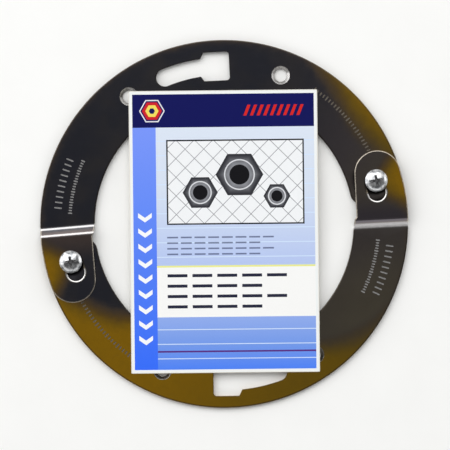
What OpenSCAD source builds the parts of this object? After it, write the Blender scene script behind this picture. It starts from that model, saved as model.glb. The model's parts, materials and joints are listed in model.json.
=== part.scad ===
// Two-piece repair ring for a toilet flange, lying flat with its retail label card on top.
// Origin: the middle of the ring, on its underside. +Z up, millimetres.
// The halves are one stamping used twice. Each has a plain end with a tapped hole, and at
// the other end a raised tab whose slot takes the screw of the other half.

/* [Ring] */
// Diameter of the drain opening inside the ring
opening_d = 125; // [105:0.5:150]
// Width of the plate from the opening to the rim
plate_w = 26.4; // [22:0.2:32]
// Thickness of the steel plate
plate_t = 2; // [1.4:0.1:3]
// How far the circle of holes stands outside the middle of the plate
hole_circle_out = 0.5; // [0:0.1:1.5]

/* [Plain end] */
// Angle of the tapped hole in the plain end, from +X
tapped_a = 15.9; // [5:0.1:30]
// Length of the plain end past its tapped hole
plain_end_len = 9.4; // [8.5:0.1:11]
// Radius of the plain end's corners
plain_corner_r = 5.9; // [3:0.1:7]

/* [Tab] */
// Gap between a raised tab and the plate under it
tab_gap = 0.1; // [0.05:0.05:0.3]
// Distance from the fold's middle to the slot's middle, round the hole circle
fold_back = 17.6; // [17.5:0.1:24]
// Length of the sloping fold that lifts the tab
fold_run = 3.4; // [2.5:0.1:4]
// How far the fold line leans from the radius, in degrees
fold_lean = 2.3; // [0:0.1:5]
// Distance from the slot's middle to the centre of the tab's round tip, round the hole circle
tip_ahead = 5.9; // [4:0.1:9]
// How much narrower the tab's round tip is than the plate
tip_narrower = 4.2; // [2:0.1:6]

/* [Adjusting slot] */
// Width of the slot through the tab
slot_w = 8; // [7.5:0.1:9]
// Distance between the centres of the slot's two round ends
slot_travel = 5.6; // [3:0.1:7]
// How far the slot's centre line stands inside the hole circle
slot_inset = 1; // [0:0.1:1]
// How far a screw stands from its slot's end centre as the ring is packed
slot_end_play = 0.1; // [0:0.05:1]
// Width and depth of the bevel round the slot's upper edge
slot_bevel = 1.1; // [0.3:0.1:1.3]

/* [Key slots] */
// Angle of the wide part of the key slot for a closet bolt
key_a = 92.8; // [90:0.1:96]
// Width of the wide part, along the radius
key_wide_w = 13.8; // [12:0.1:16]
// Length of the wide part, before it steps down
key_wide_len = 12.3; // [11:0.1:14]
// Radius of the wide part's square corners
key_corner_r = 1.5; // [0.5:0.1:3]
// Width of the narrow part, for a 5/16 in closet bolt
key_narrow_w = 8.4; // [7:0.1:10]
// Angle of the centre of the narrow part's round end
key_end_a = 112.1; // [108:0.1:118]

/* [Floor screw holes] */
// Angle of the hole near the plain end
floor_hole_a1 = 69.2; // [60:0.1:75]
// Angle of the hole near the tab
floor_hole_a2 = 126.8; // [124:0.1:140]
// How far the two holes stand outside the circle of the other holes
floor_hole_out = 0.6; // [0:0.1:2]
// Diameter through the plate
floor_hole_d = 6.1; // [5:0.1:7]
// Diameter of the countersink's mouth
floor_sink_d = 9; // [8:0.1:11]
// Depth of the countersink
floor_sink_depth = 1.2; // [0.6:0.1:1.3]

/* [Screws] */
// Diameter of the screw's shank
shank_d = 5.5; // [4.5:0.1:5.6]
// Radial clearance between the shank and the tapped hole
thread_clear = 0.05; // [0.02:0.01:0.1]
// How far the shank's end stands above the ring's underside
shank_short = 0.2; // [0.1:0.1:0.5]
// Diameter of the pan head
head_d = 10.9; // [9.5:0.1:12]
// Height of the pan head
head_h = 3.3; // [2.6:0.1:4]
// Height of the straight rim at the foot of the pan head
head_rim_h = 1.1; // [0.6:0.1:1.5]
// Gap between the head and the tab it bears on
head_gap = 0.05; // [0.02:0.01:0.1]
// Length of the cross recess from tip to tip
recess_len = 5.4; // [4:0.1:6]
// Width of each arm of the cross recess
recess_w = 1.2; // [0.8:0.1:1.6]
// Depth of the cross recess
recess_depth = 1.9; // [1.2:0.1:2.2]
// Turn of the cross recess from the radius through the screw, in degrees
recess_turn = 85; // [0:1:89]

/* [Label card] */
// Width of the card
card_w = 91; // [70:1:100]
// Thickness of the card
card_t = 0.5; // [0.3:0.1:1]
// How far the card's upper corners reach past the drain opening
card_top_lap = 16.4; // [14:0.1:20]
// How far the card's lower corners reach past the drain opening
card_bottom_lap = 22.5; // [14:0.1:25]
// Turn of the card on the ring, in degrees
card_turn = 0.6; // [-3:0.1:3]
// Diameter of the sticky pads that hold the card
pad_d = 8; // [5:0.5:9]
// Thickness of the sticky pads
pad_t = 1; // [0.5:0.1:2]
// Distance from the edge of the drain opening to a pad
pad_edge = 1.5; // [1:0.1:3]

/* [Hidden] */

$fn = 96;
far = 400;    // length of the shapes that only cut
past = 1;     // how far a cut runs past the surface it opens
seam = 0.01;  // how deep joined shapes run into each other

ring_in_r = opening_d / 2;
ring_out_r = ring_in_r + plate_w;
hole_r = ring_in_r + plate_w / 2 + hole_circle_out;

// The plain end is drawn in the frame of its tapped hole: X outwards, Y round the ring.
corner_y = plain_corner_r - plain_end_len;
corner_in = [sqrt(pow(ring_in_r + plain_corner_r, 2) - pow(corner_y, 2)), corner_y];
corner_out = [sqrt(pow(ring_out_r - plain_corner_r, 2) - pow(corner_y, 2)), corner_y];

// The tab is drawn in the frame of its fold: X outwards along the fold line, Y to the tip.
tab_z = plate_t + tab_gap;
tab_top = tab_z + plate_t;
slot_a = tapped_a + 180;
slot_r = hole_r - slot_inset;
fold_a = slot_a - arc_deg(fold_back);
fold_dir = fold_a + fold_lean;
fold_at = at(hole_r, fold_a);
tip_r = (plate_w - tip_narrower) / 2;
ring_mid = turned(-fold_at, -fold_dir);
tip_mid = turned(at(ring_out_r - tip_r, slot_a + arc_deg(tip_ahead)) - fold_at, -fold_dir);
tab_in_x = tip_mid[0] - tip_r;
tab_step = fold_run / 2 + 0.3;  // from the fold's middle to where its inner edge ends
tab_step_len = 1.2;             // length in which that edge steps to the tab's
fold_inset = 0.5;               // how far that edge has left the opening's circle by then
fold_edge_start = [opening_x(-tab_step), -tab_step];
fold_edge_end = [opening_x(tab_step) + fold_inset, tab_step];

// As packed, the halves are turned until each screw stands near one end of its slot.
pack_turn = arc_deg(slot_travel / 2 - slot_end_play);
lower_turn = 180 - pack_turn;
head_z = tab_top + head_gap;
head_dome_h = head_h - head_rim_h;
dome_r = (pow(head_d / 2, 2) + pow(head_dome_h, 2)) / (2 * head_dome_h);

card_z = plate_t + pad_t;
card_top_y = sqrt(pow(ring_in_r + card_top_lap, 2) - pow(card_w / 2, 2));
card_bottom_y = -sqrt(pow(ring_in_r + card_bottom_lap, 2) - pow(card_w / 2, 2));
pad_r = ring_in_r + pad_edge + pad_d / 2;

// Angle at the ring's middle of a length laid round the hole circle
function arc_deg(len) = len / hole_r * 180 / PI;
// Point at a radius and an angle
function at(r, a) = [r * cos(a), r * sin(a)];
// Point turned about the origin
function turned(p, a) = [p[0] * cos(a) - p[1] * sin(a), p[0] * sin(a) + p[1] * cos(a)];

// X of the opening's edge at a height in the frame of the fold
function opening_x(y) = ring_mid[0] + sqrt(pow(ring_in_r, 2) - pow(y - ring_mid[1], 2));

// Frame at a radius and an angle: X outwards, Y round the ring
module at_polar(r, a) {
    rotate(a)
        translate([r, 0])
            children();
}

// The whole stamping seen from above: plain end, body, fold and tab
module half_outline() {
    outwards = tip_mid - ring_mid;
    tab_side = [
        ring_mid + 2 * outwards, tip_mid, [tab_in_x, tip_mid[1]],
        [tab_in_x, tab_step + tab_step_len], fold_edge_end,
        fold_edge_end + 2 * (fold_edge_start - fold_edge_end)
    ];
    difference() {
        intersection() {
            circle(ring_out_r);
            polygon([
                [0, 0],
                turned(corner_in, tapped_a),
                turned(corner_out, tapped_a),
                turned(corner_out * 2, tapped_a),
                at(far, tapped_a + 45),
                at(far, tapped_a + 90),
                at(far, tapped_a + 135),
                for (p = tab_side) turned(p, fold_dir) + fold_at
            ]);
        }
        circle(ring_in_r);
    }
    translate(fold_at)
        rotate(fold_dir)
            translate(tip_mid)
                circle(tip_r);
    rotate(tapped_a) {
        for (c = [corner_in, corner_out])
            translate(c)
                circle(plain_corner_r);
        translate([corner_in[0], -plain_end_len])
            square([corner_out[0] - corner_in[0], plain_corner_r + seam]);
    }
}

// A sheet as thick as the plate, flat all over but for the fold and the raised end past it
module folded_sheet() {
    half = fold_run / 2;
    translate(fold_at)
        rotate(fold_dir) {
            translate([-far, -far, 0])
                cube([2 * far, far - half, plate_t]);
            translate([-far, -half, 0])
                cube([far + ring_mid[0], far, plate_t]);
            translate([ring_mid[0], 0, 0])
                rotate([90, 0, 90])
                    linear_extrude(far)
                        polygon([
                            [-half, 0], [half, tab_z], [far, tab_z], [far, tab_top],
                            [half, tab_top], [-half, plate_t]
                        ]);
        }
}

// Both parts of the key slot: a head goes down through the wide one and locks in the narrow one
module key_slot_outline() {
    wide = key_wide_w / 2;
    long = key_wide_len / 2;
    r = key_corner_r;
    step = wide - key_narrow_w / 4;
    at_polar(hole_r, key_a) {
        polygon([
            [r - wide, -long], [wide - r, -long], [wide, r - long], [wide, long],
            [wide - step, long + step], [step - wide, long + step], [-wide, long],
            [-wide, r - long]
        ]);
        for (side = [-1, 1])
            translate([side * (wide - r), r - long])
                circle(r);
    }
    intersection() {
        difference() {
            circle(hole_r + key_narrow_w / 2);
            circle(hole_r - key_narrow_w / 2);
        }
        polygon([[0, 0], at(far, key_a), at(far, key_end_a)]);
    }
    at_polar(hole_r, key_end_a)
        circle(key_narrow_w / 2 + seam);
}

// A countersunk hole for a screw into the floor
module floor_hole() {
    grow = (floor_sink_d - floor_hole_d) / 2 / floor_sink_depth;
    translate([0, 0, -past])
        cylinder(h = plate_t + 2 * past, d = floor_hole_d);
    translate([0, 0, plate_t - floor_sink_depth])
        cylinder(
            h = floor_sink_depth + past,
            r1 = floor_hole_d / 2,
            r2 = floor_hole_d / 2 + grow * (floor_sink_depth + past)
        );
}

// The slot that the other half's screw slides in, with its upper edge bevelled
module adjusting_slot() {
    half_w = slot_w / 2;
    half_travel = slot_travel / 2;
    bevel_top = slot_bevel + past;
    for (y = [-half_travel, half_travel])
        translate([0, y, 0]) {
            translate([0, 0, -past])
                cylinder(h = plate_t + 2 * past, r = half_w);
            translate([0, 0, plate_t - slot_bevel])
                cylinder(h = bevel_top, r1 = half_w, r2 = half_w + bevel_top);
        }
    rotate([90, 0, 0])
        linear_extrude(slot_travel, center = true)
            polygon([
                [-half_w, -past], [half_w, -past], [half_w, plate_t - slot_bevel],
                [half_w + bevel_top, plate_t + past], [-half_w - bevel_top, plate_t + past],
                [-half_w, plate_t - slot_bevel]
            ]);
}

module half_ring() {
    difference() {
        intersection() {
            folded_sheet();
            translate([0, 0, -past])
                linear_extrude(tab_top + 2 * past)
                    half_outline();
        }
        translate([0, 0, -past])
            linear_extrude(plate_t + 2 * past)
                key_slot_outline();
        for (a = [floor_hole_a1, floor_hole_a2])
            at_polar(hole_r + floor_hole_out, a)
                floor_hole();
        at_polar(hole_r, tapped_a)
            translate([0, 0, -past])
                cylinder(h = plate_t + 2 * past, r = shank_d / 2 + thread_clear);
        at_polar(slot_r, slot_a)
            translate([0, 0, tab_z])
                adjusting_slot();
    }
}

module pan_head_screw() {
    difference() {
        union() {
            translate([0, 0, shank_short])
                cylinder(h = head_z + seam - shank_short, d = shank_d);
            translate([0, 0, head_z])
                intersection() {
                    cylinder(h = head_h, d = head_d);
                    translate([0, 0, head_h - dome_r])
                        sphere(dome_r);
                }
        }
        for (a = [0, 90])
            rotate(a + recess_turn)
                translate([-recess_len / 2, -recess_w / 2, head_z + head_h - recess_depth])
                    cube([recess_len, recess_w, recess_depth + past]);
    }
}

// Corner of the card on the left or the right, at the top or the bottom edge
function card_corner(side, y) = turned([side * card_w / 2, y], card_turn);

module sticky_pad(side, y) {
    corner = card_corner(side, y);
    color("ivory")
        at_polar(pad_r, atan2(corner[1], corner[0]))
            translate([0, 0, plate_t])
                cylinder(h = pad_t, d = pad_d);
}

module upper_half_ring() {
    color("darkslategray")
        half_ring();
}

module lower_half_ring() {
    color("darkgoldenrod")
        rotate(lower_turn)
            half_ring();
}

// Screw in the lower half's tapped hole, through the upper half's slot
module left_screw() {
    color("silver")
        at_polar(hole_r, tapped_a + lower_turn)
            pan_head_screw();
}

// Screw in the upper half's tapped hole, through the lower half's slot
module right_screw() {
    color("silver")
        at_polar(hole_r, tapped_a)
            pan_head_screw();
}

module label_card() {
    color("royalblue")
        rotate(card_turn)
            translate([-card_w / 2, card_bottom_y, card_z])
                cube([card_w, card_top_y - card_bottom_y, card_t]);
}

module pad_upper_left() {
    sticky_pad(-1, card_top_y);
}

module pad_upper_right() {
    sticky_pad(1, card_top_y);
}

module pad_lower_left() {
    sticky_pad(-1, card_bottom_y);
}

module pad_lower_right() {
    sticky_pad(1, card_bottom_y);
}

upper_half_ring();
lower_half_ring();
left_screw();
right_screw();
label_card();
pad_upper_left();
pad_upper_right();
pad_lower_left();
pad_lower_right();
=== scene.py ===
"""Two-piece repair ring for a toilet flange, with its two screws and its retail card.

Lengths are in millimetres here and are turned into metres where a mesh is made.
"""
import json
import math

import bpy
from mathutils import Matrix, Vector
from mathutils.geometry import delaunay_2d_cdt


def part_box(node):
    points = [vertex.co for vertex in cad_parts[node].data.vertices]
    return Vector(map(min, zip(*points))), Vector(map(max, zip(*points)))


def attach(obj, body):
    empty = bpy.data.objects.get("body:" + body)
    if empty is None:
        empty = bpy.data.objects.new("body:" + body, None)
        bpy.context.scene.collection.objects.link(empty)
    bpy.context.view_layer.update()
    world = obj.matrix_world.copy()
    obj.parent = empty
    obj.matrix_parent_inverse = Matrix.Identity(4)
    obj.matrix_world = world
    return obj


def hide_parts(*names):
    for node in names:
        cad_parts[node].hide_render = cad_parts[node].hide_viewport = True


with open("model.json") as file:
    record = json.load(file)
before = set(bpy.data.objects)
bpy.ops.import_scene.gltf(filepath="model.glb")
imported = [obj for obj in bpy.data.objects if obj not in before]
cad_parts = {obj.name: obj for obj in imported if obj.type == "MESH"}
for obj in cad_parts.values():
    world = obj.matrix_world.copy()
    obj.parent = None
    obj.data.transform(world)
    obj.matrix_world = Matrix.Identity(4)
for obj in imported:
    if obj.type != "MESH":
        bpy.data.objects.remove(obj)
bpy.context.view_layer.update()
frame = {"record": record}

scene = bpy.context.scene
MM = 0.001
RIM_INSIDE = 0.01      # that the visible rim stays inside the CAD's

# ---- sizes from the frame

def node_box(node):
    """Lowest and highest corner of a CAD node, in millimetres."""
    low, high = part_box(node)
    return low / MM, high / MM


def polar(r, a):
    """Point at a radius and an angle in degrees."""
    return Vector((r * math.cos(math.radians(a)), r * math.sin(math.radians(a))))


def turned(p, a):
    """Point turned about the origin by an angle in degrees."""
    c, s = math.cos(math.radians(a)), math.sin(math.radians(a))
    return Vector((p[0] * c - p[1] * s, p[0] * s + p[1] * c))


def angle_of(p):
    """Angle of a point round the origin, in degrees."""
    return math.degrees(math.atan2(p[1], p[0]))


mounts = {m["name"]: m for m in frame["record"]["mounts"]}
opening = mounts["drain_opening"]["dims"]
IN_R, PLATE_T = opening["r_mm"], opening["length_mm"]
floor_hole = mounts["floor_hole_upper_right"]["dims"]
FLOOR_HOLE_R, FLOOR_HOLE_WALL = floor_hole["r_mm"], floor_hole["length_mm"]
floor_holes = [
    Vector(mounts[name]["pos_m"]).xy / MM
    for name in ("floor_hole_upper_right", "floor_hole_upper_left")
]
OUT_R = node_box("upper_half_ring")[1].y - RIM_INSIDE
PLATE_W = OUT_R - IN_R
screw_low, screw_high = node_box("right_screw")
left_low, left_high = node_box("left_screw")
screw_at = (screw_low + screw_high).xy / 2
left_at = (left_low + left_high).xy / 2
HOLE_R = screw_at.length
TAPPED_A = angle_of(screw_at)
LOWER_TURN = angle_of(left_at) - TAPPED_A
HEAD_R = (screw_high.x - screw_low.x) / 2
SHANK_LOW = screw_low.z
TAB_TOP = node_box("upper_half_ring")[1].z
TAB_Z = TAB_TOP - PLATE_T

# Sizes that the CAD source gives the stamping, the screws and the card
PLAIN_END_LEN = 9.4
PLAIN_CORNER_R = 5.9
FOLD_BACK = 17.6
FOLD_RUN = 3.4
FOLD_LEAN = 2.3
TIP_AHEAD = 5.9
TIP_NARROWER = 4.2
SLOT_W = 8.0
SLOT_TRAVEL = 5.6
SLOT_INSET = 1.0
SLOT_BEVEL = 1.1
KEY_A = 92.8
KEY_WIDE_W = 13.8
KEY_WIDE_LEN = 12.3
KEY_CORNER_R = 1.5
KEY_NARROW_W = 8.4
KEY_END_A = 112.1
FLOOR_SINK_R = 4.5
SHANK_R = 2.75
HEAD_GAP = 0.05
HEAD_H = 3.3
HEAD_RIM_H = 1.1
RECESS_LEN = 5.4
RECESS_W = 1.2
RECESS_DEPTH = 1.9
RECESS_TURN = 85
CARD_W = 91.0
CARD_TURN = 0.6
PAD_R = 4.0

# Sizes that only the visible surfaces have
EDGE_ROLL = 0.6        # radius that the die rolls over on an upper edge
EDGE_BREAK = 0.12      # radius of the other edges
BEND = 1.5             # length over which the fold's slope comes and goes
PITCH = 1.06           # of the screws' thread
THREAD_DEPTH = 0.42
TAPPED_R = 2.8         # of a tapped hole, to its thread's crests
CUT_DEPTH = 0.16       # of that thread
STAMP_DEPTH = 0.12     # of the tick marks
CARD_SAG = 0.5         # of the card over the opening
LIP = 0.05             # least width of a level edge beside a wall

# How worn an edge is, and how bright its painted highlight, as the rim attribute says: 1 is
# bare, more is freshly cut, and 0.1 to 0.6 get a painted shade line
HOLE_FOOT, RIM_FOOT, PUNCHED, BODY_RIM, TAB_RIM = 0.3, 0.4, 0.5, 0.6, 1.0
SINK_TOP, CUT = 1.1, 1.2

# ---- mesh building

ENCLOSED = 1      # kind of triangulation: nothing outside the outermost outline
SAME = 1e-6       # distance within which it takes two points as one


class Shell:
    """A closed mesh made row by row, which keeps a normal for each of its points."""

    def __init__(self):
        self.points, self.normals, self.rims = [], [], []
        self.faces, self.slots, self.flats = [], [], []

    def add(self, points, normals=None, rim=0.0):
        """Adds a row of points and gives their numbers. build works out missing normals."""
        start = len(self.points)
        self.points += [Vector(p) for p in points]
        self.normals += list(normals) if normals else [None] * len(points)
        self.rims += [rim] * len(points)
        return list(range(start, len(self.points)))

    def face(self, corners, slot=0, flat=False):
        """Adds a face of a material slot. A flat one is shaded with its own normal."""
        self.faces.append(corners)
        self.slots.append(slot)
        self.flats.append(flat)

    def strip(self, low, high, slot=0, flat=False, closed=True):
        """Joins two rows of equally many points. The face looks to the right of their course."""
        last = len(low) if closed else len(low) - 1
        for i in range(last):
            j = (i + 1) % len(low)
            self.face([low[i], low[j], high[j], high[i]], slot, flat)

    def cap(self, loops, up=True, inner=(), height=None, slot=0, flat=False):
        """Fills the space between loops, upwards or downwards, by way of inner points.

        height gives the place and the normal of an inner point.
        """
        numbers = [n for loop in loops for n in loop]
        edges = []
        for loop in loops:
            start = len(edges)
            count = len(loop)
            edges += [(start + i, start + (i + 1) % count) for i in range(count)]
        for p in inner:
            z, normal = height(*p)
            numbers += self.add([(p[0], p[1], z)], [normal])
        seen = {n: self.points[n].xy for n in numbers}
        made = delaunay_2d_cdt(list(seen.values()), edges, [], ENCLOSED, SAME)
        places, origins = made[0], made[3]
        outlines = [[seen[n] for n in loop] for loop in loops]
        for triangle in between(made, outlines):
            a, b, c = (places[i] for i in triangle)
            corners = [numbers[origins[i][0]] for i in triangle]
            if ((b - a).cross(c - a) > 0) != up:
                corners.reverse()
            self.face(corners, slot, flat)

    def turn(self, a, centre=(0, 0)):
        """Turns the mesh about the origin by an angle in degrees, then moves it to a centre."""
        self.points = [Vector((*(turned(p, a) + Vector(centre)), p.z)) for p in self.points]
        self.normals = [n and Vector((*turned(n, a), n.z)) for n in self.normals]

    def build(self, name, materials):
        """Makes the Blender object, with split normals: a flat face keeps its own."""
        mesh = bpy.data.meshes.new(name)
        mesh.from_pydata([p * MM for p in self.points], [], self.faces)
        for material in materials:
            mesh.materials.append(material)
        worked_out = [v.normal.copy() for v in mesh.vertices]
        normals = []      # one for each corner of each face
        for polygon, slot, flat in zip(mesh.polygons, self.slots, self.flats):
            polygon.material_index = slot
            polygon.use_smooth = True
            for v in polygon.vertices:
                own = self.normals[v] or worked_out[v]
                normals.append(polygon.normal if flat else own)
        mesh.normals_split_custom_set(normals)
        rim = mesh.attributes.new("rim", "FLOAT", "POINT")
        rim.data.foreach_set("value", self.rims)
        return linked(name, mesh)


def linked(name, data):
    """A new object in the scene, of a mesh, a light or a camera."""
    obj = bpy.data.objects.new(name, data)
    scene.collection.objects.link(obj)
    return obj


def inside(p, outline):
    """Whether a point lies inside a closed outline."""
    odd = False
    before = outline[-1]
    for point in outline:
        if (point.y > p.y) != (before.y > p.y):
            x = point.x + (p.y - point.y) * (before.x - point.x) / (before.y - point.y)
            odd ^= p.x < x
        before = point
    return odd


def between(made, outlines):
    """Triangles of a triangulation that lie inside an outline but not in a hole of it.

    Triangles with no outline between them stay together, and the largest speaks for them.
    """
    places, edges, triangles, _, edge_origins = made[:5]
    borders = {frozenset(edge) for edge, found in zip(edges, edge_origins) if found}
    neighbours = {}
    for i, triangle in enumerate(triangles):
        for side in sides(triangle):
            neighbours.setdefault(side, []).append(i)

    def size(i):
        """Twice the area of a triangle."""
        a, b, c = (places[corner] for corner in triangles[i])
        return abs((b - a).cross(c - a))

    kept = []
    left = set(range(len(triangles)))
    while left:
        region = [left.pop()]
        for i in region:
            for side in sides(triangles[i]):
                if side not in borders:
                    joined = left.intersection(neighbours[side])
                    left -= joined
                    region += joined
        largest = triangles[max(region, key=size)]
        middle = sum((places[corner] for corner in largest), Vector((0, 0))) / 3
        if sum(inside(middle, outline) for outline in outlines) % 2:
            kept += region
    return [triangles[i] for i in sorted(kept)]


def sides(triangle):
    """The three sides of a triangle, each as a pair in no order."""
    return [frozenset((triangle[k - 1], triangle[k])) for k in range(3)]


def arc(centre, r, a0, a1, step=0.7):
    """Points along an arc, both ends included, about step apart."""
    count = max(2, math.ceil(abs(math.radians(a1 - a0)) * r / step))
    return [Vector(centre) + polar(r, a0 + (a1 - a0) * i / count) for i in range(count + 1)]


def line(a, b, step=2.0):
    """Points between two points, both ends left out."""
    count = max(1, math.ceil((Vector(b) - Vector(a)).length / step))
    return [Vector(a).lerp(Vector(b), i / count) for i in range(1, count)]


def outward(outline):
    """Direction away from the metal at each point of an outline with the metal on its left.

    It is longer at a corner, so that a point moved along it keeps its distance to both sides.
    """
    sharpest = 0.5      # a sharper corner counts as this, so that no point runs away
    found = []
    for i, p in enumerate(outline):
        back = (p - outline[i - 1]).normalized()
        on = (outline[(i + 1) % len(outline)] - p).normalized()
        middle = (back + on).normalized()
        found.append(Vector((middle.y, -middle.x)) / max(sharpest, middle.dot(on)))
    return found


def rounded(path, radii, steps=4):
    """A profile of (out, up) points with its inner corners rounded, and the normal at each.

    The normal lies to the right of the profile's course.
    """
    path = [Vector(p) for p in path]
    found = [(path[0], path[1] - path[0])]      # points and the course there
    for i, p in enumerate(path[1:-1]):
        back, on = (path[i] - p).normalized(), (path[i + 2] - p).normalized()
        reach = radii[i] / math.tan(back.angle(on) / 2)
        for k in range(steps + 1):
            t = k / steps
            a, b = p + back * reach * (1 - t), p + on * reach * t
            found.append((a.lerp(b, t), (-back).lerp(on, t)))
    found.append((path[-1], path[-1] - path[-2]))
    return [(p, Vector((course.y, -course.x)).normalized()) for p, course in found]


def wall(shell, outline, path, radii, lift=None, slot=0, rims=(), steps=4):
    """Sweeps a profile of (out, up) points round an outline, and gives its first and last row.

    lift gives the height and the upward normal of the sheet at a point. rims has a value of the
    rim attribute for each rounded corner, which sets its wear, its painted highlight and its
    painted shade.
    """
    ways = outward(outline)
    rows = []
    for k, (p, n) in enumerate(rounded(path, radii, steps)):
        corner = (k - 1) // (steps + 1)
        rim = rims[corner] if 0 <= corner < len(rims) else 0.0
        points, normals = [], []
        for q, way in zip(outline, ways):
            place = q + way * p.x
            z, up = lift(place.x, place.y) if lift else (0.0, Vector((0, 0, 1)))
            points.append((place.x, place.y, z + p.y))
            flat = way.normalized()
            normals.append((Vector((flat.x, flat.y, 0)) * n.x + up * n.y).normalized())
        rows.append(shell.add(points, normals, rim))
        if k:
            shell.strip(rows[-2], rows[-1], slot)
    return rows[0], rows[-1]


def circle(centre, r, count):
    """Points round a circle: anticlockwise, or clockwise for a hole, where count is negative."""
    return [Vector(centre) + polar(r, 360 * i / count) for i in range(abs(count))]


# ---- the stamping

CORNER_Y = PLAIN_CORNER_R - PLAIN_END_LEN
CORNER_IN, CORNER_OUT = (
    Vector((math.sqrt(r ** 2 - CORNER_Y ** 2), CORNER_Y))
    for r in (IN_R + PLAIN_CORNER_R, OUT_R - PLAIN_CORNER_R)
)
DEGREE = math.pi / 180 * HOLE_R      # of arc on the hole circle
SLOT_A = TAPPED_A + 180
SLOT_R = HOLE_R - SLOT_INSET
FOLD_A = SLOT_A - FOLD_BACK / DEGREE
FOLD_DIR = FOLD_A + FOLD_LEAN
FOLD_AT = polar(HOLE_R, FOLD_A)
TIP_R = (PLATE_W - TIP_NARROWER) / 2
TIP_A = SLOT_A + TIP_AHEAD / DEGREE
TIP_MID = polar(OUT_R - TIP_R, TIP_A)
TAB_STEP = FOLD_RUN / 2 + 0.3       # from the fold's middle to where its inner edge ends
TAB_STEP_LEN = 1.2                  # over which that edge then steps out to the tab's
FOLD_INSET = 0.5                    # of the inner edge along the fold
BEND_END = TAB_STEP + TAB_STEP_LEN


def to_fold(p):
    """A point in the frame of the fold: X outwards along the fold line, Y to the tab's tip."""
    return turned(Vector(p) - FOLD_AT, -FOLD_DIR)


def from_fold(p):
    """The point that to_fold takes to this one."""
    return turned(p, FOLD_DIR) + FOLD_AT


RING_MID = to_fold((0, 0))
TAB_IN_X = to_fold(TIP_MID).x - TIP_R


def rim_at(r, v):
    """Point of a circle round the ring's middle at a height in the fold's frame."""
    return Vector((RING_MID.x + math.sqrt(r ** 2 - (v - RING_MID.y) ** 2), v))


def tab_inner_at(v):
    """Point of the inner edge at a height in the fold's frame, where it steps to the tab's."""
    start = rim_at(IN_R, -TAB_STEP)
    end = rim_at(IN_R, TAB_STEP) + Vector((FOLD_INSET, 0))
    if v <= -TAB_STEP:
        return rim_at(IN_R, v)
    if v <= TAB_STEP:
        return start.lerp(end, (v + TAB_STEP) / (2 * TAB_STEP))
    share = min((v - TAB_STEP) / TAB_STEP_LEN, 1.0)
    return Vector((end.x + (TAB_IN_X - end.x) * share, v))


def fold_wear_and_highlight(x, y, wear_and_highlight_bands):
    """How rubbed the plating is at a point, and how bright a painted highlight it has there, by
    stripes of (height in the fold, half width, strength).
    """
    u, v = to_fold((x, y))
    if u < RING_MID.x:
        return 0.0
    return max(wear_and_highlight * math.exp(-abs((v - mid) / half) ** 3) for mid, half, wear_and_highlight in wear_and_highlight_bands)


def fold_lift(x, y):
    """Height of the sheet's underside at a point of the stamping, and its upward normal."""
    u, v = to_fold((x, y))
    if u <= RING_MID.x:      # the side of the ring across from the fold
        return 0.0, Vector((0, 0, 1))
    slope = TAB_Z / FOLD_RUN

    def bent(t):
        """Height and slope past a bend at 0 that takes the sheet from level to a slope of 1."""
        s = min(max(t / BEND + 0.5, 0.0), 1.0)
        return BEND * (s ** 3 - s ** 4 / 2) + max(t - BEND / 2, 0.0), s * s * (3 - 2 * s)

    rise, come = bent(v + FOLD_RUN / 2)
    fall, go = bent(v - FOLD_RUN / 2)
    z = slope * (rise - fall)
    steep = slope * (come - go)
    way = turned((0, 1), FOLD_DIR)
    return z, Vector((-way.x * steep, -way.y * steep, 1)).normalized()


def key_slot():
    """Outline of the key slot for a closet bolt, the metal on its left."""
    wide, long, r = KEY_WIDE_W / 2, KEY_WIDE_LEN / 2, KEY_CORNER_R
    narrow_in, narrow_out = HOLE_R - KEY_NARROW_W / 2, HOLE_R + KEY_NARROW_W / 2
    step = KEY_NARROW_W / 4
    neck = long + wide - step      # where the slanted ends of the wide part meet the step
    begin = long + 1.6             # where the narrow part's edges begin
    cut = 0.25                     # radius that the slot's other corners are rounded to

    def in_wide(x, y):
        """A point given from the wide part's middle, with X outwards."""
        return turned((HOLE_R + x, y), KEY_A)

    def softened(*points):
        """The rounded corner at the middle one of three points."""
        return [p for p, _ in rounded([in_wide(*p) for p in points], [cut], 3)[1:-1]]

    path = arc(in_wide(r - wide, r - long), r, KEY_A + 270, KEY_A + 180, 0.4)
    path += softened((-wide, 0), (-wide, long), (-step, neck))
    inner_a, outer_a = (
        KEY_A + math.degrees(math.atan2(begin, side)) for side in (narrow_in, narrow_out)
    )
    path += arc((0, 0), narrow_in, inner_a, KEY_END_A, 1.0)
    path += arc(polar(HOLE_R, KEY_END_A), KEY_NARROW_W / 2, KEY_END_A + 180, KEY_END_A, 0.5)[1:]
    path += arc((0, 0), narrow_out, KEY_END_A, outer_a, 1.0)[1:]
    path += softened((step, neck), (wide, long), (wide, 0))
    path += arc(in_wide(wide - r, r - long), r, KEY_A, KEY_A - 90, 0.4)
    return path


def stadium(r, half, step=0.5):
    """Outline of a slot along Y with round ends, the metal on its left."""
    return arc((0, half), r, 180, 0, step) + arc((0, -half), r, 0, -180, step)


def thread_wave(turn):
    """Shape of a thread across one turn: 1 on the crest and 0 in the root."""
    level = 0.12      # share of the turn that the crest and the root each take
    t = abs((turn % 1.0) * 2 - 1)
    return min(max((t - level) / (1 - 2 * level), 0.0), 1.0)


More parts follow.
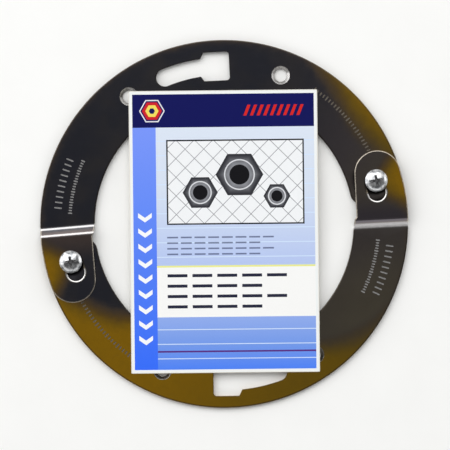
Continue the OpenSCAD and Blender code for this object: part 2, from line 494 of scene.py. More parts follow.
def tapped_hole(shell):
    """The thread cut in the plain end. Gives its bottom and top row.

    Its grooves lie outside the hole, where the crests of the screw's thread run at rest.
    """
    count, rows_high = 48, 26
    centre = polar(HOLE_R, TAPPED_A)
    run_in = 0.35      # depth over which the thread begins at each face
    mouth = 0.2        # size of the hole's chamfers
    rows = []
    for k in range(rows_high + 1):
        z = PLATE_T * k / rows_high
        ends = min(z, PLATE_T - z)
        cut = CUT_DEPTH * min(1.0, ends / run_in)
        r_end = mouth * max(0.0, 1 - ends / mouth)
        points = []
        for i in range(count):
            a = -360 * i / count
            groove = cut * thread_wave(z / PITCH - a / 360)
            p = centre + polar(TAPPED_R + r_end + groove, TAPPED_A + a)
            points.append((p.x, p.y, z))
        rows.append(shell.add(points, rim=HOLE_FOOT))
        if k:
            shell.strip(rows[-2], rows[-1])
    return rows[0], rows[-1]


def ticks():
    """Places of the stamped tick marks, with the material: (radius, angle, length, slot)."""
    bright, faint = 1, 2      # material slots
    for r, length, short, a0, a1, count, slot in (
        (80.6, 3.6, 3.6, 157.5, 174.5, 10, bright),
        (74.6, 2.0, 1.5, 156.0, 176.0, 21, bright),
        (78.2, 2.4, 1.8, 24.5, 56.0, 25, faint),
    ):
        for i in range(count):
            yield r, a0 + (a1 - a0) * i / (count - 1), short if i % 4 else length, slot


def stamp(shell, r, a, length, slot):
    """One tick: a shallow groove along the radius. Gives its top row."""
    half_w = 0.3
    slant = 0.1      # width of its sides
    outline = [
        turned((r + p.y, p.x), a)
        for p in reversed(stadium(half_w, length / 2 - half_w, 0.25))
    ]
    floor_z = PLATE_T - STAMP_DEPTH
    path = [(slant + 0.06, floor_z), (slant, floor_z), (0, PLATE_T), (-LIP, PLATE_T)]
    low, high = wall(shell, outline, path, [0.03, 0.03], slot=slot, steps=2)
    shell.cap([low], slot=slot)
    return high


def half_ring(name, turn, free_end, wear_and_highlight_bands, materials):
    """One half of the ring, turned to its place.

    free_end is 1 or -1, for the end of its slot that no screw head covers. The fold's stripes
    are painted highlights on rubbed plating. materials are the plate's and those of its two
    kinds of marks.
    """
    shell = Shell()
    rows = 32      # across the fold
    folds = [-BEND_END + 2 * BEND_END * i / rows for i in range(rows + 1)]
    plain = [turned(p, TAPPED_A) for p in
             arc(CORNER_IN, PLAIN_CORNER_R, 180 + angle_of(CORNER_IN), 270, 0.5)
             + line((CORNER_IN.x, -PLAIN_END_LEN), (CORNER_OUT.x, -PLAIN_END_LEN))
             + arc(CORNER_OUT, PLAIN_CORNER_R, -90, angle_of(CORNER_OUT), 0.5)]
    fold_out = [from_fold(rim_at(OUT_R, v)) for v in folds]
    fold_in = [from_fold(tab_inner_at(v)) for v in reversed(folds)]
    tip = arc(TIP_MID, TIP_R, TIP_A, FOLD_DIR + 180, 0.5)
    rim_a0, rim_a1 = angle_of(plain[-1]), angle_of(fold_out[0]) % 360
    body_out = plain + arc((0, 0), OUT_R, rim_a0, rim_a1, 1.0)[1:-1]
    tab_out = arc((0, 0), OUT_R, angle_of(fold_out[-1]) % 360, TIP_A, 1.0)[1:-1]
    tab_in = line(tip[-1], fold_in[0], 1.0)
    body_in = arc((0, 0), IN_R, angle_of(fold_in[-1]) % 360, angle_of(plain[0]), 1.0)[1:-1]
    outline = body_out + fold_out + tab_out + tip + tab_in + fold_in + body_in

    first_fold = len(body_out)
    tab_first = first_fold + len(folds) - 1
    tab_last = tab_first + 1 + len(tab_out) + len(tip) + len(tab_in)
    last_fold = tab_last + len(folds) - 1

    low, high = wall(
        shell, outline,
        [(-0.5, 0), (0, 0), (0, PLATE_T), (-EDGE_ROLL - LIP, PLATE_T)],
        [EDGE_BREAK, EDGE_ROLL], fold_lift, rims=(RIM_FOOT, TAB_RIM)
    )

    foot = [(-EDGE_BREAK * 2, 0), (0, 0)]      # of every hole's profile
    punched = [*foot, (0, PLATE_T), (-0.4, PLATE_T)]
    sink_out = FLOOR_HOLE_R - FLOOR_SINK_R
    sunk = [*foot, (0, FLOOR_HOLE_WALL), (sink_out + 0.15, PLATE_T), (sink_out - 0.12, PLATE_T)]
    holes = [
        wall(shell, key_slot(), punched, [EDGE_BREAK, 0.22], rims=(HOLE_FOOT, PUNCHED))
    ]
    for place in floor_holes:
        hole = circle(place, FLOOR_HOLE_R, -48)
        holes.append(wall(shell, hole, sunk, [0.1] * 3, rims=(HOLE_FOOT, CUT, SINK_TOP)))
    holes.append(tapped_hole(shell))
    marks = [stamp(shell, *tick) for tick in ticks()]

    slot_mid = polar(SLOT_R, SLOT_A)
    slot_outline = [
        turned(p, SLOT_A) + slot_mid for p in stadium(SLOT_W / 2, SLOT_TRAVEL / 2, 0.4)
    ]
    slot_low, slot_high = wall(
        shell, slot_outline, [*foot, (0, PLATE_T), (-SLOT_BEVEL - 0.3, PLATE_T)],
        [EDGE_BREAK, SLOT_BEVEL - 0.15], fold_lift, rims=(HOLE_FOOT, CUT), steps=8
    )

    for row, body_holes, tab_hole, up in (
        (high, [top for _, top in holes] + marks, slot_high, True),
        (low, [bottom for bottom, _ in holes], slot_low, False),
    ):
        shell.cap([row[:first_fold + 1] + row[last_fold:]] + body_holes, up)
        shell.cap([row[tab_first:tab_last + 1], tab_hole], up)
        outer = row[first_fold:tab_first + 1]
        inner = row[tab_last:last_fold + 1][::-1]
        shell.strip(*((outer, inner) if up else (inner, outer)), closed=False)

    # the body's rolled edge gets less of the worn, painted highlight than the tab's, and the
    # slot bevel's is brightest at its free end and dims, as painted shade, towards the screw
    # head
    fold_highlights_and_wear = []
    body_top = PLATE_T + 0.05
    for i, p in enumerate(shell.points):
        fold_highlights_and_wear.append(fold_wear_and_highlight(p.x, p.y, wear_and_highlight_bands))
        if p.z < body_top and shell.rims[i] == TAB_RIM:
            shell.rims[i] = BODY_RIM
        if p.z > body_top and shell.rims[i] > 1:
            along = turned(p.xy - slot_mid, -SLOT_A).y * free_end
            shell.rims[i] *= min(max(0.45 + along / 6, 0.3), 1.0)
    shell.turn(turn)
    obj = shell.build(name, materials)
    # bend holds the fold's painted highlight stripes, on rubbed plating
    obj.data.attributes.new("bend", "FLOAT", "POINT").data.foreach_set("value", fold_highlights_and_wear)
    return obj


# ---- the screws

HEAD_Z = TAB_TOP + HEAD_GAP
HEAD_TOP = HEAD_Z + HEAD_H
DOME_H = HEAD_H - HEAD_RIM_H
DOME_R = (HEAD_R ** 2 + DOME_H ** 2) / (2 * DOME_H)


def dome(x, y):
    """Height and normal of the screw head's dome at a point, in the screw's own frame."""
    z = math.sqrt(DOME_R ** 2 - x * x - y * y)
    return HEAD_TOP - DOME_R + z, Vector((x, y, z)) / DOME_R


def recess_outline(depth):
    """Outline of the cross recess at a share of its depth, the metal on its left.

    Its arms get shorter and narrower downwards.
    """
    arm = RECESS_LEN / 2 * (1 - 0.62 * depth)
    half_w = RECESS_W / 2 * (1 - 0.35 * depth)
    web = half_w * 1.5      # where the corner between two arms is cut off
    tip_run, tip_w = 0.15, 0.2      # sizes of the bevels at an arm's tip
    quarter = [(arm - tip_run, half_w), (arm, half_w - tip_w), (arm, tip_w - half_w),
               (arm - tip_run, -half_w), (web, -half_w), (half_w, -web)]
    return [turned(p, RECESS_TURN - 90 * q) for q in range(4) for p in quarter]


def screw(name, centre, turn, materials):
    """A pan head screw with a cross recess and a rolled thread.

    materials are the plating's and that of the recess.
    """
    shell = Shell()
    around = 64
    ring = circle((0, 0), 1, around)

    # the threaded shank, from its chamfered end to the head, where the thread runs out
    rows = []
    count = 46
    runout_len, chamfer = 0.7, 0.6      # in height
    for k in range(count + 1):
        z = SHANK_LOW + (HEAD_Z - SHANK_LOW) * k / count
        runout = min(1.0, (HEAD_Z - z) / runout_len)
        points = []
        for i, p in enumerate(ring):
            wave = thread_wave(z / PITCH - i / around)
            r = SHANK_R - THREAD_DEPTH * ((1 - wave) * runout + 0.5 * (1 - runout))
            r = min(r, SHANK_R - chamfer + (z - SHANK_LOW))
            points.append((p.x * r, p.y * r, z))
        rows.append(shell.add(points))
        if k:
            shell.strip(rows[-2], rows[-1])
    shell.cap([rows[0]], up=False, flat=True)

    # the head's underside and rolled rim, up to where the dome begins
    dome_r = HEAD_R - 0.5
    profile = [(SHANK_R - THREAD_DEPTH / 2, HEAD_Z), (HEAD_R, HEAD_Z),
               (HEAD_R, HEAD_Z + HEAD_RIM_H), (dome_r, dome(dome_r, 0)[0])]
    last = rows[-1]
    for p, n in rounded(profile, [0.25, 0.3], 5)[1:]:
        normals = [Vector((q.x * n.x, q.y * n.x, n.y)).normalized() for q in ring]
        row = shell.add([(q.x * p.x, q.y * p.x, p.y) for q in ring], normals)
        shell.strip(last, row)
        last = row

    # the cross recess, from its lip on the dome level by level down to its floor
    steps = 6
    steepness = 0.8      # of its sides: below 1, they are steeper near the top
    floor_z = HEAD_TOP - RECESS_DEPTH
    levels = []
    for k in range(steps + 1):
        outline = recess_outline(k / steps)
        tops = [dome(p.x, p.y) for p in outline]
        share = (k / steps) ** steepness
        points = [(p.x, p.y, z + (floor_z - z) * share) for p, (z, _) in zip(outline, tops)]
        levels.append(shell.add(points, [normal for _, normal in tops]))
        if k:
            shell.strip(levels[k], levels[k - 1], slot=1, flat=True)
    shell.cap([levels[-1]], slot=1, flat=True)
    edge = recess_outline(0)
    rings, apart, spokes = 10, 0.45, 36      # of points between the recess and the rim
    inner = [
        polar(0.6 + apart * k, 360 * (i + 0.5 * (k % 2)) / spokes)
        for k in range(rings) for i in range(spokes)
    ]
    inner = [p for p in inner if not inside(p, edge) and nearest(p, edge) > 0.15]
    shell.cap([last, levels[0]], inner=inner, height=dome)
    shell.turn(turn, centre)
    return shell.build(name, materials)


def nearest(p, outline):
    """Distance from a point to an outline's nearest corner or middle of an edge."""
    return min(
        min((p - q).length, (p - q.lerp(outline[i - 1], 0.5)).length)
        for i, q in enumerate(outline)
    )


# ---- the card and its pads

card_low, card_high = node_box("label_card")
CARD_Z, CARD_TOP = card_low.z, card_high.z
lean = math.radians(CARD_TURN)
CARD_H = (card_high.y - card_low.y - CARD_W * math.sin(lean)) / math.cos(lean)
CARD_MID = turned((card_low + card_high).xy / 2, -CARD_TURN)


def card_sag(x, y):
    """Height at a point of the card, from its level at the corners, and its upward normal."""
    held_r = IN_R - 2      # radius from the ring's middle at which the card starts to hang
    share = min(1.0, (x * x + y * y) / held_r ** 2)
    z = -CARD_SAG * (1 - share) ** 2
    slope = 4 * CARD_SAG * (1 - share) / held_r ** 2
    return z, Vector((-x * slope, -y * slope, 1)).normalized()


def label_card(print_material, board_material):
    """The card: a thin board with rounded corners that hangs a little over the opening."""
    shell = Shell()
    r = 0.6      # of the corners
    reach = Vector((CARD_W / 2 - r, CARD_H / 2 - r))
    corners = [Vector((sx * reach.x, sy * reach.y)) for sx, sy in
               ((1, -1), (1, 1), (-1, 1), (-1, -1))]
    outline = []
    for q, corner in enumerate(corners):
        outline += arc(corner, r, 90 * q - 90, 90 * q, 0.3)
        side = polar(r, 90 * q)
        outline += line(corner + side, corners[(q + 1) % 4] + side, 4.0)
    outline = [turned(p + CARD_MID, CARD_TURN) for p in outline]
    low, high = wall(
        shell, outline, [(-0.4, CARD_Z), (0, CARD_Z), (0, CARD_TOP), (-0.4, CARD_TOP)],
        [EDGE_BREAK] * 2, card_sag, slot=1
    )
    across, along = 18, 27      # squares in the card's faces
    inner = [
        Vector((CARD_W * (i / across - 0.5), CARD_H * (j / along - 0.5)))
        for i in range(1, across) for j in range(1, along)
    ]
    inner = [turned(p + CARD_MID, CARD_TURN) for p in inner]
    for row, level, side, slot in ((high, CARD_TOP, 1, 0), (low, CARD_Z, -1, 1)):
        def height(x, y):
            """Height and normal of this face of the card."""
            z, normal = card_sag(x, y)
            return z + level, normal * side

        shell.cap([row], side > 0, inner, height, slot)
    return shell.build("printed_card", [print_material, board_material])


def sticky_pad(name, node, material):
    """A foam disc with a skin at both ends, whose side swells a little."""
    low, high = node_box(node)
    shell = Shell()
    swell, skin = 0.14, 0.12
    bottom, top = wall(
        shell, circle((low + high).xy / 2, PAD_R, 40),
        [(-0.8, low.z), (-swell, low.z), (-swell, low.z + skin), (0, (low.z + high.z) / 2),
         (-swell, high.z - skin), (-swell, high.z), (-0.8, high.z)],
        [0.03, 0.05, 0.2, 0.05, 0.03], steps=3
    )
    shell.cap([top])
    shell.cap([bottom], up=False)
    return shell.build(name, [material])


# ---- materials


def srgb(r, g, b):
    """A colour given as 0 to 255 screen values."""
    def linear(v):
        """Undoes the sRGB curve."""
        v /= 255
        return v / 12.92 if v <= 0.04045 else ((v + 0.055) / 1.055) ** 2.4
    return (linear(r), linear(g), linear(b), 1.0)


def operation(kind):
    """A method that adds a math node of a kind."""
    return lambda self, *others: self.nodes.math(kind, self, *others)


class Value:
    """A node's output to reckon with. Each operation on it adds a math node."""

    def __init__(self, nodes, socket):
        self.nodes, self.socket = nodes, socket

    def __rsub__(self, other):
        return self.nodes.math("SUBTRACT", other, self)

    __add__ = __radd__ = operation("ADD")
    __mul__ = __rmul__ = operation("MULTIPLY")
    __sub__ = operation("SUBTRACT")
    __truediv__ = operation("DIVIDE")
    __lt__ = operation("LESS_THAN")
    __gt__ = operation("GREATER_THAN")
    __abs__ = operation("ABSOLUTE")


class Nodes:
    """Short ways to write the node tree of a material or the world."""

    def __init__(self, owner, shader="Principled BSDF"):
        owner.use_nodes = True
        self.owner, self.tree = owner, owner.node_tree
        self.shader = self.tree.nodes[shader]

    def new(self, kind, inputs=None, output=0, **settings):
        """Adds a node with its settings and inputs, and gives one of its outputs."""
        node = self.tree.nodes.new(kind)
        for key, value in settings.items():
            setattr(node, key, value)
        for key, value in (inputs or {}).items():
            self.put(node.inputs[key], value)
        return Value(self, node.outputs[output])

    def put(self, socket, value):
        """Links a socket to another node's output, or sets its value."""
        if isinstance(value, Value):
            self.tree.links.new(value.socket, socket)
        else:
            socket.default_value = value

    def set(self, **inputs):
        """Sets or links inputs of the shader, with _ for a space in their names."""
        for key, value in inputs.items():
            self.put(self.shader.inputs[key.replace("_", " ")], value)

    def math(self, kind, *values):
        """The result of a math node."""
        return self.new("ShaderNodeMath", dict(enumerate(values)), operation=kind)

    def smooth(self, value, low, high):
        """0 below low, 1 above high and a soft step between."""
        inputs = {"Value": value, "From Min": low, "From Max": high}
        return self.new("ShaderNodeMapRange", inputs, "Result", interpolation_type="SMOOTHSTEP")

    def mix(self, share, *colours):
        """A colour that goes from one to another, each a node's or three screen values."""
        a, b = (c if isinstance(c, Value) else srgb(*c) for c in colours)
        inputs = {"Factor": share, "A": a, "B": b}
        return self.new("ShaderNodeMix", inputs, "Result", data_type="RGBA")

    def ramp(self, share, *stops):
        """A colour ramp of (place, colour in screen values) stops."""
        found = self.new("ShaderNodeValToRGB", {0: share})
        band = found.socket.node.color_ramp
        while len(band.elements) < len(stops):
            band.elements.new(0.5)
        for element, (place, tone) in zip(band.elements, stops):
            element.position, element.color = place, srgb(*tone)
        return found

    def mapped(self, vector, scale, turn=0.0, shift=(0, 0, 0)):
        """A vector scaled, turned by an angle in degrees and shifted."""
        inputs = {"Vector": vector, "Location": shift, "Scale": scale,
                  "Rotation": (0, 0, math.radians(turn))}
        return self.new("ShaderNodeMapping", inputs, vector_type="POINT")

    def place(self, turn=0.0, shift=(0, 0, 0)):
        """The surface's place in millimetres, turned and then shifted."""
        metres = self.new("ShaderNodeTexCoord", output="Object")
        return self.mapped(metres, (1 / MM,) * 3, turn, shift)

    def parts(self, vector):
        """The x, y and z of a vector."""
        split = self.new("ShaderNodeSeparateXYZ", {0: vector}).socket.node
        return [Value(self, socket) for socket in split.outputs]

    def noise(self, vector, scale, detail=3.0, roughness=0.5, distortion=0.0):
        """Soft noise round 0.5, with so many spots to a millimetre."""
        inputs = {"Vector": vector, "Scale": scale, "Detail": detail,
                  "Roughness": roughness, "Distortion": distortion}
        return self.new("ShaderNodeTexNoise", inputs, "Fac")

    def attribute(self, name):
        """A value that the mesh keeps for each of its points."""
        return self.new("ShaderNodeAttribute", output="Fac", attribute_name=name)

    def bump(self, height, strength, depth):
        """Gives the shader a relief of a depth in millimetres."""
        inputs = {"Height": height, "Strength": strength, "Distance": depth * MM}
        self.set(Normal=self.new("ShaderNodeBump", inputs))


def plated_steel(name, turn, tapped, lobes, fold_shading):
    """Black and gold chromate plating, with painted shade round the tapped hole, beside and
    under the other half's tab.

    lobes are the gold patches: (angle, half width, depth). The last argument is painted shading:
    the colour that the raised tab takes on near its fold, and how much of it the plate has
    before the fold.
    """
    n = Nodes(bpy.data.materials.new(name))
    place = n.place()
    x, y, z = n.parts(place)
    broad = n.noise(place, 0.05, 2.0)
    fine = n.noise(place, 0.35, 4.0, 0.6)

    # where the surface is: on the raised tab, and how far past the fold and out along it
    tab = n.smooth(z, PLATE_T + 0.5, PLATE_T + 1.5)
    fold_at, way = turned(FOLD_AT, turn), turned((0, 1), FOLD_DIR + turn)
    out = turned(way, -90)
    past_fold = x * way.x + y * way.y - fold_at.dot(way)
    along = x * out.x + y * out.y - fold_at.dot(out)
    # painted shading near the fold: on the tab past it, and on the plate before it
    fold_shading_share = tab * (1 - n.smooth(past_fold, 3.0, 16.0))
    same_side = along > -40.0
    before = n.smooth(past_fold, -36.0, -3.0) * (past_fold < 1.0) * same_side * fold_shading[1]

    # how gold it is: more towards the rim, and furthest in at the middle of each lobe
    gold_depth = 0.0
    angle = n.math("DEGREES", n.math("ARCTAN2", y, x))
    for middle, half, deep in lobes:
        away = abs(n.math("WRAP", angle - middle, 180.0, -180.0))
        near = n.math("MINIMUM", away / half, 1.0)
        bell = (n.math("COSINE", near * math.pi) + 1.0) * (deep / 2)
        gold_depth = n.math("MAXIMUM", gold_depth, bell)
    border = OUT_R + 6 - gold_depth + (broad - 0.5) * 5.0
    radius = n.math("SQRT", x * x + y * y)
    tint = n.smooth(radius - border, -12.0, 9.0) + (fine - 0.5) * 0.16
    # less gold under that painted shading
    tint = tint * (1 - fold_shading_share * 0.4)

    # the plating's colours, grey-blue to brown where dark and bright to dull where gold: across
    # the ring a painted reflection, darker with brighter gold towards the upper left
    side = n.smooth(x - y * 0.5, -20.0, 95.0)
    dark = n.ramp(side, (0.0, (71, 72, 81)), (0.55, (101, 94, 96)), (1.0, (122, 114, 98)))
    dark = n.mix(n.smooth(broad, 0.4, 0.7) * 0.3, dark, (104, 96, 86))
    # the painted shading's colour near the fold
    dark = n.mix(n.math("MAXIMUM", fold_shading_share, before), dark, fold_shading[0])
    bright = n.ramp(tint, (0.0, (98, 92, 92)), (0.3, (120, 102, 82)),
                    (0.55, (152, 120, 62)), (0.8, (192, 149, 46)), (1.0, (219, 165, 38)))
    dull = n.ramp(tint, (0.0, (101, 94, 92)), (0.4, (124, 108, 80)),
                  (0.7, (148, 122, 58)), (1.0, (172, 136, 42)))
    colour = n.mix(side * (1 - tab * 0.7), bright, dull)
    colour = n.mix(n.smooth(tint, 0.02, 0.3), dark, colour)

    # worn edges, partly a painted highlight, with a painted shade line inside them, bright cut
    # edges, and the rubbed folds with their painted highlight stripes
    rim = n.attribute("rim")
    cut = n.smooth(rim, 0.95, 1.1)
    bare_and_highlight = n.mix(cut, (156, 144, 124), (212, 210, 208))
    wear_and_highlight = n.smooth(rim + (fine - 0.5) * 0.7, 0.55, 1.15)
    colour = n.mix(wear_and_highlight, colour, bare_and_highlight)
    # painted shade: a dark line inside worn edges, and over the body's rolled edge and the key
    # slot's rim
    dim = n.smooth(rim, 0.1, 0.5) * (1 - n.smooth(rim, 0.62, 0.9))
    colour = n.mix(dim * 0.8, colour, (62, 56, 50))
    bend = n.attribute("bend") * (fine * 0.4 + 0.8)
    colour = n.mix(bend, colour, (234, 232, 232))

    # painted shade round the tapped hole, beside and under the other half's tab, and fine
    # scratches: noise stretched hard along one direction
    to_hole = n.new("ShaderNodeVectorMath", {0: place, 1: (*tapped, 1)}, "Value",
                    operation="DISTANCE")
    film = (1 - n.smooth(to_hole, 10.5, 13.0)) * (z < PLATE_T + 0.03)
    colour = n.mix(film * 0.85, colour, (34, 33, 36))
    lines = n.noise(n.mapped(place, (0.06, 3.0, 3.0), 24), 1.0, 2.0, 0.6)
    colour = n.mix(n.smooth(lines, 0.66, 0.78) * 0.18, colour, (170, 166, 160))

    worn = wear_and_highlight * (wear_and_highlight - cut * 0.6) * 0.16
    rough = fine * 0.06 + 0.14 + worn + bend * bend * 0.34 + film * 0.2
    n.set(Base_Color=colour, Metallic=1.0, Roughness=rough)
    n.bump(n.noise(place, 0.12, 2.0) + lines * 0.02, 0.12, 0.25)
    return n.owner


def grained(name, low, high, noise, rough, more=0.0, relief=None, **inputs):
    """A finish whose colour, and perhaps roughness and relief, follow one grain.

    low and high are its colours, noise the grain's scale and detail, more what the grain
    adds to the roughness, and relief the strength and depth of its bump.
    """
    n = Nodes(bpy.data.materials.new(name))
    grain = n.noise(n.place(), *noise)
    n.set(Base_Color=n.mix(grain, low, high),
          Roughness=grain * more + rough if more else rough, **inputs)
    if relief:
        n.bump(grain, *relief)
    return n.owner


def bright_zinc():
    """Bright zinc plating on the screws, mottled and a little uneven."""
    n = Nodes(bpy.data.materials.new("bright_zinc"))
    place = n.place()
    mottle = n.smooth(n.noise(place, 0.5, 2.0), 0.3, 0.65)
    n.set(Base_Color=n.mix(mottle, (142, 144, 147), (216, 217, 218)), Metallic=1.0,
          Roughness=mottle * 0.1 + 0.14)
    n.bump(n.noise(place, 0.55, 2.0), 0.45, 0.1)
    return n.owner


def pad_foam():
    """White foam with open cells, under a smooth film."""
    n = Nodes(bpy.data.materials.new("pad_foam"))
    cells = n.new("ShaderNodeTexVoronoi", {"Vector": n.place(), "Scale": 4.0}, "Distance",
                  feature="SMOOTH_F1")
    n.set(Base_Color=n.mix(cells, (226, 222, 208), (246, 244, 236)), Roughness=0.75,
          Subsurface_Weight=0.2)
    n.bump(cells, 0.5, 0.08)
    return n.owner


def card_print():
    """The card's generic print: panels, stripes and small marks, with no lettering."""
    n = Nodes(bpy.data.materials.new("card_print"))
    place = n.place(-CARD_TURN, (CARD_W / 2 - CARD_MID.x, CARD_H / 2 - CARD_MID.y, 0))
    u, v, _ = n.parts(place)      # from the card's lower left corner
    border, header, bar = 1.7, 16.0, 11.2
    top = CARD_H - border
    left, right = border + bar, CARD_W - border
    navy = (14, 18, 88)

    def near(value, middle, half):
        """Where a value is no further than half from the middle."""
        return abs(value - middle) < half

    def panel(u0, v0, u1, v1, inset=0.0):
        """Where a rectangle is."""
        return (near(u, (u0 + u1) / 2, (u1 - u0) / 2 - inset)
                * near(v, (v0 + v1) / 2, (v1 - v0) / 2 - inset))

    def repeat(value, pitch):
        """Place within each repeat of a pattern, from -pitch/2 to pitch/2."""
        return n.math("WRAP", value, pitch / 2, -pitch / 2)

    def dashes(start, count, pitch, low, rows, rise, half_h):
        """Rows of whole dashes, from left to right. Every second row has one dash more."""
        along, half_w = u - start, pitch * 0.4
        odd = n.math("FLOORED_MODULO", n.math("FLOOR", (v - low) / rise), 2.0)
        return ((along > 0.0) * (along < (odd + count) * pitch)
                * (abs(repeat(along - half_w, pitch)) < half_w)
                * (abs(repeat(v - (low + rise / 2), rise)) < half_h)
                * near(v, low + rows * rise / 2, rows * rise / 2))

    def hexagon(cx, cy, r):
        """Distance measure of a hexagon: below 1 inside it."""
        flat = 0.866      # half its height for a corner at 1
        du, dv = abs(u - cx), abs(v - cy)
        return n.math("MAXIMUM", du * flat + dv * 0.5, dv) / (r * flat)

    # blue ground that pales upwards, with pale lines, and a stripe up its left side
    height = v / CARD_H
    ink = n.ramp(height, (0.0, (72, 128, 250)), (0.1, (118, 156, 236)),
                 (0.3, (172, 192, 242)), (0.65, (216, 227, 244)), (1.0, (224, 233, 246)))
    ink = n.mix(abs(repeat(v, 7.0)) < 0.2, ink, (214, 232, 255))
    stripe = n.ramp(height, (0.0, (54, 110, 252)), (0.35, (84, 128, 248)),
                    (0.6, (104, 142, 250)), (0.9, (124, 152, 250)))
    stripe_mid = left - bar / 2
    ink = n.mix(near(u, stripe_mid, bar / 2), ink, stripe)

    # white chevrons up the stripe
    lean_v = v - abs(u - stripe_mid) * 0.7
    chevron = (abs(repeat(lean_v, 7.4)) < 1.1) * near(u, stripe_mid, 3.3) * near(v, 45.0, 34.0)
    ink = n.mix(chevron, ink, (250, 251, 253))

    # header with a hexagon emblem and a row of slanted red bars
    ink = n.mix(panel(border, top - header, right, top), ink, navy)
    middle = top - header / 2
    emblem = hexagon(border + 9.5, middle, 6.2)
    for size, tone in ((1.0, (232, 234, 240)), (0.9, navy), (0.78, (206, 34, 44)),
                       (0.52, (242, 222, 96)), (0.24, navy)):
        ink = n.mix(emblem < size, ink, tone)
    lean_x, pitch = 0.4, 3.2
    slant = u - v * lean_x
    bars_mid = pitch * round((right - 18.0 - middle * lean_x) / pitch)
    bars = near(v, middle, 2.6) * near(slant, bars_mid, 4.5 * pitch)
    ink = n.mix((abs(repeat(slant, pitch)) < 0.75) * bars, ink, (214, 38, 34))

    # picture: three plain hexagon nuts on a tiled ground
    pic = (left + 5.0, top - header - 47.0, right - 5.0, top - header - 6.0)
    ink = n.mix(panel(*pic), ink, (28, 28, 32))
    tiles = 9.0
    tile = n.math("MAXIMUM", *(abs(repeat(way, tiles)) < 0.22 for way in (u + v, u - v)))
    ground = n.mix(tile, (244, 246, 248), (150, 152, 156))
    for du, dv, r in ((-17.0, -5.0, 8.5), (2.0, 3.5, 11.5), (20.0, -7.0, 6.5)):
        cx, cy = (pic[0] + pic[2]) / 2 + du, (pic[1] + pic[3]) / 2 + dv
        shape = hexagon(cx, cy, r)
        away = n.math("SQRT", (u - cx) * (u - cx) + (v - cy) * (v - cy))
        nut = n.mix(n.smooth(shape, 0.3, 1.0), (150, 152, 158), (46, 46, 52))
        nut = n.mix(near(away, r * 0.62, 0.3), nut, (220, 222, 226))
        nut = n.mix(away < r * 0.42, nut, (18, 18, 22))
        ground = n.mix(shape < 1.0, ground, nut)
    ink = n.mix(panel(*pic, inset=0.7), ink, ground)

    # white panel of dashes under a yellow line, finer dashes over it, and a purple line
    low, high = 27.0, 51.0
    ink = n.mix(panel(left, low, right, high), ink, (250, 250, 248))
    ink = n.mix(panel(left, high, right, high + 0.9), ink, (238, 240, 150))
    bold = dashes(left + 5.0, count=4, pitch=12.0, low=low + 2.5, rows=4, rise=5.0, half_h=0.75)
    fine = dashes(left + 5.0, count=7, pitch=6.6, low=high + 5.0, rows=4, rise=2.7, half_h=0.38)
    ink = n.mix(bold, ink, (40, 42, 62))
    ink = n.mix(fine * 0.75, ink, (54, 62, 104))
    ink = n.mix(panel(left, 10.0, right, 10.8), ink, (92, 44, 128))

    # the unprinted border, and the paper's grain
    ink = n.mix(panel(border, border, right, top), (243, 246, 245), ink)
    grain = n.noise(place, 2.2, 3.0)
    ink = n.mix(grain * 0.05, ink, (0, 0, 0))
    n.set(Base_Color=ink, Roughness=grain * 0.12 + 0.38, Specular_IOR_Level=0.1)
    n.bump(grain, 0.06, 0.05)
    return n.owner


# ---- the object

# the floors of the stamped marks, where the plating is broken and rough
broken = {"noise": (4.0, 3.0), "rough": 0.4, "more": 0.25, "relief": (0.3, 0.05)}
marks = [
    grained("bright_marks", (104, 103, 104), (168, 167, 166), Metallic=0.6, **broken),
    grained("faint_marks", (84, 78, 72), (122, 114, 102), Metallic=0.6, **broken),
]
# the last argument of each is the painted shading near its fold
upper_plating = plated_steel(
    "upper_plating", 0, screw_at, [(36, 32, 13), (194, 14, 16)],
    ((112, 98, 94), 0.0))
lower_plating = plated_steel(
    "lower_plating", LOWER_TURN, left_at, [(261, 80, 50), (14, 14, 16)],
    ((92, 86, 92), 0.55))

# the screws, whose recess is dull and painted dark, as shade
recess = grained("recess_metal", (60, 58, 58), (150, 150, 152), (3.0, 3.0), 0.3, 0.2,
                 (0.2, 0.05), Metallic=1.0)
screw_metals = [bright_zinc(), recess]

# the fold stripes of each half are painted highlights, on rubbed plating
upper = half_ring("upper_plate", 0, 1, [(-1.7, 0.7, 0.6), (0.0, 1.6, 0.12), (1.7, 0.7, 0.6)],
                  [upper_plating, *marks])
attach(upper, "upper_half")
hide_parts("upper_half_ring")

lower = half_ring("lower_plate", LOWER_TURN, -1, [(-1.5, 1.1, 1.0), (0.5, 1.1, 0.06)],
                  [lower_plating, *marks])
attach(lower, "lower_half")
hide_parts("lower_half_ring")

for node, at, turn in (("left_screw", left_at, LOWER_TURN), ("right_screw", screw_at, 0)):
    piece = screw("pan_head_" + node, at, turn + TAPPED_A, screw_metals)
    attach(piece, node)
    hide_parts(node)

# the card, whose cut edges and bare back are grey-white board with fibres
board = grained("card_board", (214, 210, 200), (240, 238, 230), (3.0, 5.0, 0.7, 1.0), 0.85,
                relief=(0.25, 0.05))
card = label_card(card_print(), board)
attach(card, "label_card")
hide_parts("label_card")

foam = pad_foam()
for node in ("pad_upper_left", "pad_upper_right", "pad_lower_left", "pad_lower_right"):
    piece = sticky_pad("foam_" + node, node, foam)
    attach(piece, "label_card")
    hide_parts(node)

# ---- floor, lights and camera


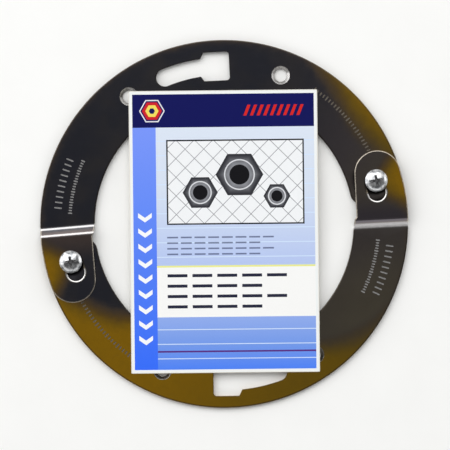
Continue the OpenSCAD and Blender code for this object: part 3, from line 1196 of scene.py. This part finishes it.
def floor():
    """A round pale floor just under the ring, its rim far outside the view."""
    shell = Shell()
    level = -0.02
    rows = []
    for r in (1500, 400, 120, 40):
        rows.append(shell.add([(*p, level) for p in circle((0, 0), r, 64)]))
        if len(rows) > 1:
            shell.strip(rows[-2], rows[-1])
    shell.cap([rows[-1]])
    white = grained("floor_white", (246, 246, 244), (250, 250, 248), (0.05, 2.0), 0.9,
                    Specular_IOR_Level=0.1)
    obj = shell.build("floor", [white])


def softbox(name, azimuth, elevation, distance, size, power):
    """An area light that looks at the ring's middle, in metres, degrees and watts."""
    light = bpy.data.lights.new(name, "AREA")
    light.shape = "RECTANGLE"
    light.size, light.size_y = size
    light.energy = power
    obj = linked(name, light)
    out = polar(math.cos(math.radians(elevation)), azimuth)
    place = Vector((*out, math.sin(math.radians(elevation)))) * distance
    obj.location = place
    obj.rotation_euler = (-place).to_track_quat("-Z", "Y").to_euler()


def studio():
    """A dim room, paler behind the ring and low at its sides, with a low band in front."""
    scene.world = bpy.data.worlds.new("studio")
    n = Nodes(scene.world, "Background")
    _, y, z = n.parts(n.new("ShaderNodeTexCoord", output="Generated"))
    overhead = n.smooth(z, 0.85, 0.96) * 0.1
    behind = n.smooth(y, 0.0, 0.5) * 0.5
    low_sides = ((1 - n.smooth(z, 0.15, 0.45)) * n.smooth(y, -0.6, 0.1)
                 * (0.7 - n.smooth(y, 0.2, 0.7) * 0.45))
    band = (n.smooth(z, 0.2, 0.32) * (1 - n.smooth(z, 0.45, 0.6))
            * (1 - n.smooth(y, -0.6, -0.1)) * 0.95)
    front = (1 - n.smooth(y, -0.4, -0.1)) * 0.12
    n.set(Color=(1, 1, 1, 1), Strength=overhead + 0.12 + behind + low_sides + band + front)


floor()
studio()
softbox("key", 104, 52, 2.6, (4.8, 2.1), 54.0)
softbox("left", 160, 25, 2.6, (3.6, 1.6), 29.0)
softbox("right", 12, 20, 2.6, (1.6, 0.7), 7.5)

VIEW_WIDTH = 217.3              # of the picture at the height of the plates
VIEW_MIDDLE = (0.39, -0.53)     # of the picture, from the ring's middle

camera = bpy.data.cameras.new("camera")
camera.lens = 200
camera.sensor_width = 36
distance = VIEW_WIDTH * camera.lens / camera.sensor_width
camera_obj = linked("camera", camera)
camera_obj.location = Vector((*VIEW_MIDDLE, distance + PLATE_T)) * MM
bpy.context.scene.camera = camera_obj

scene.view_settings.view_transform = "Standard"
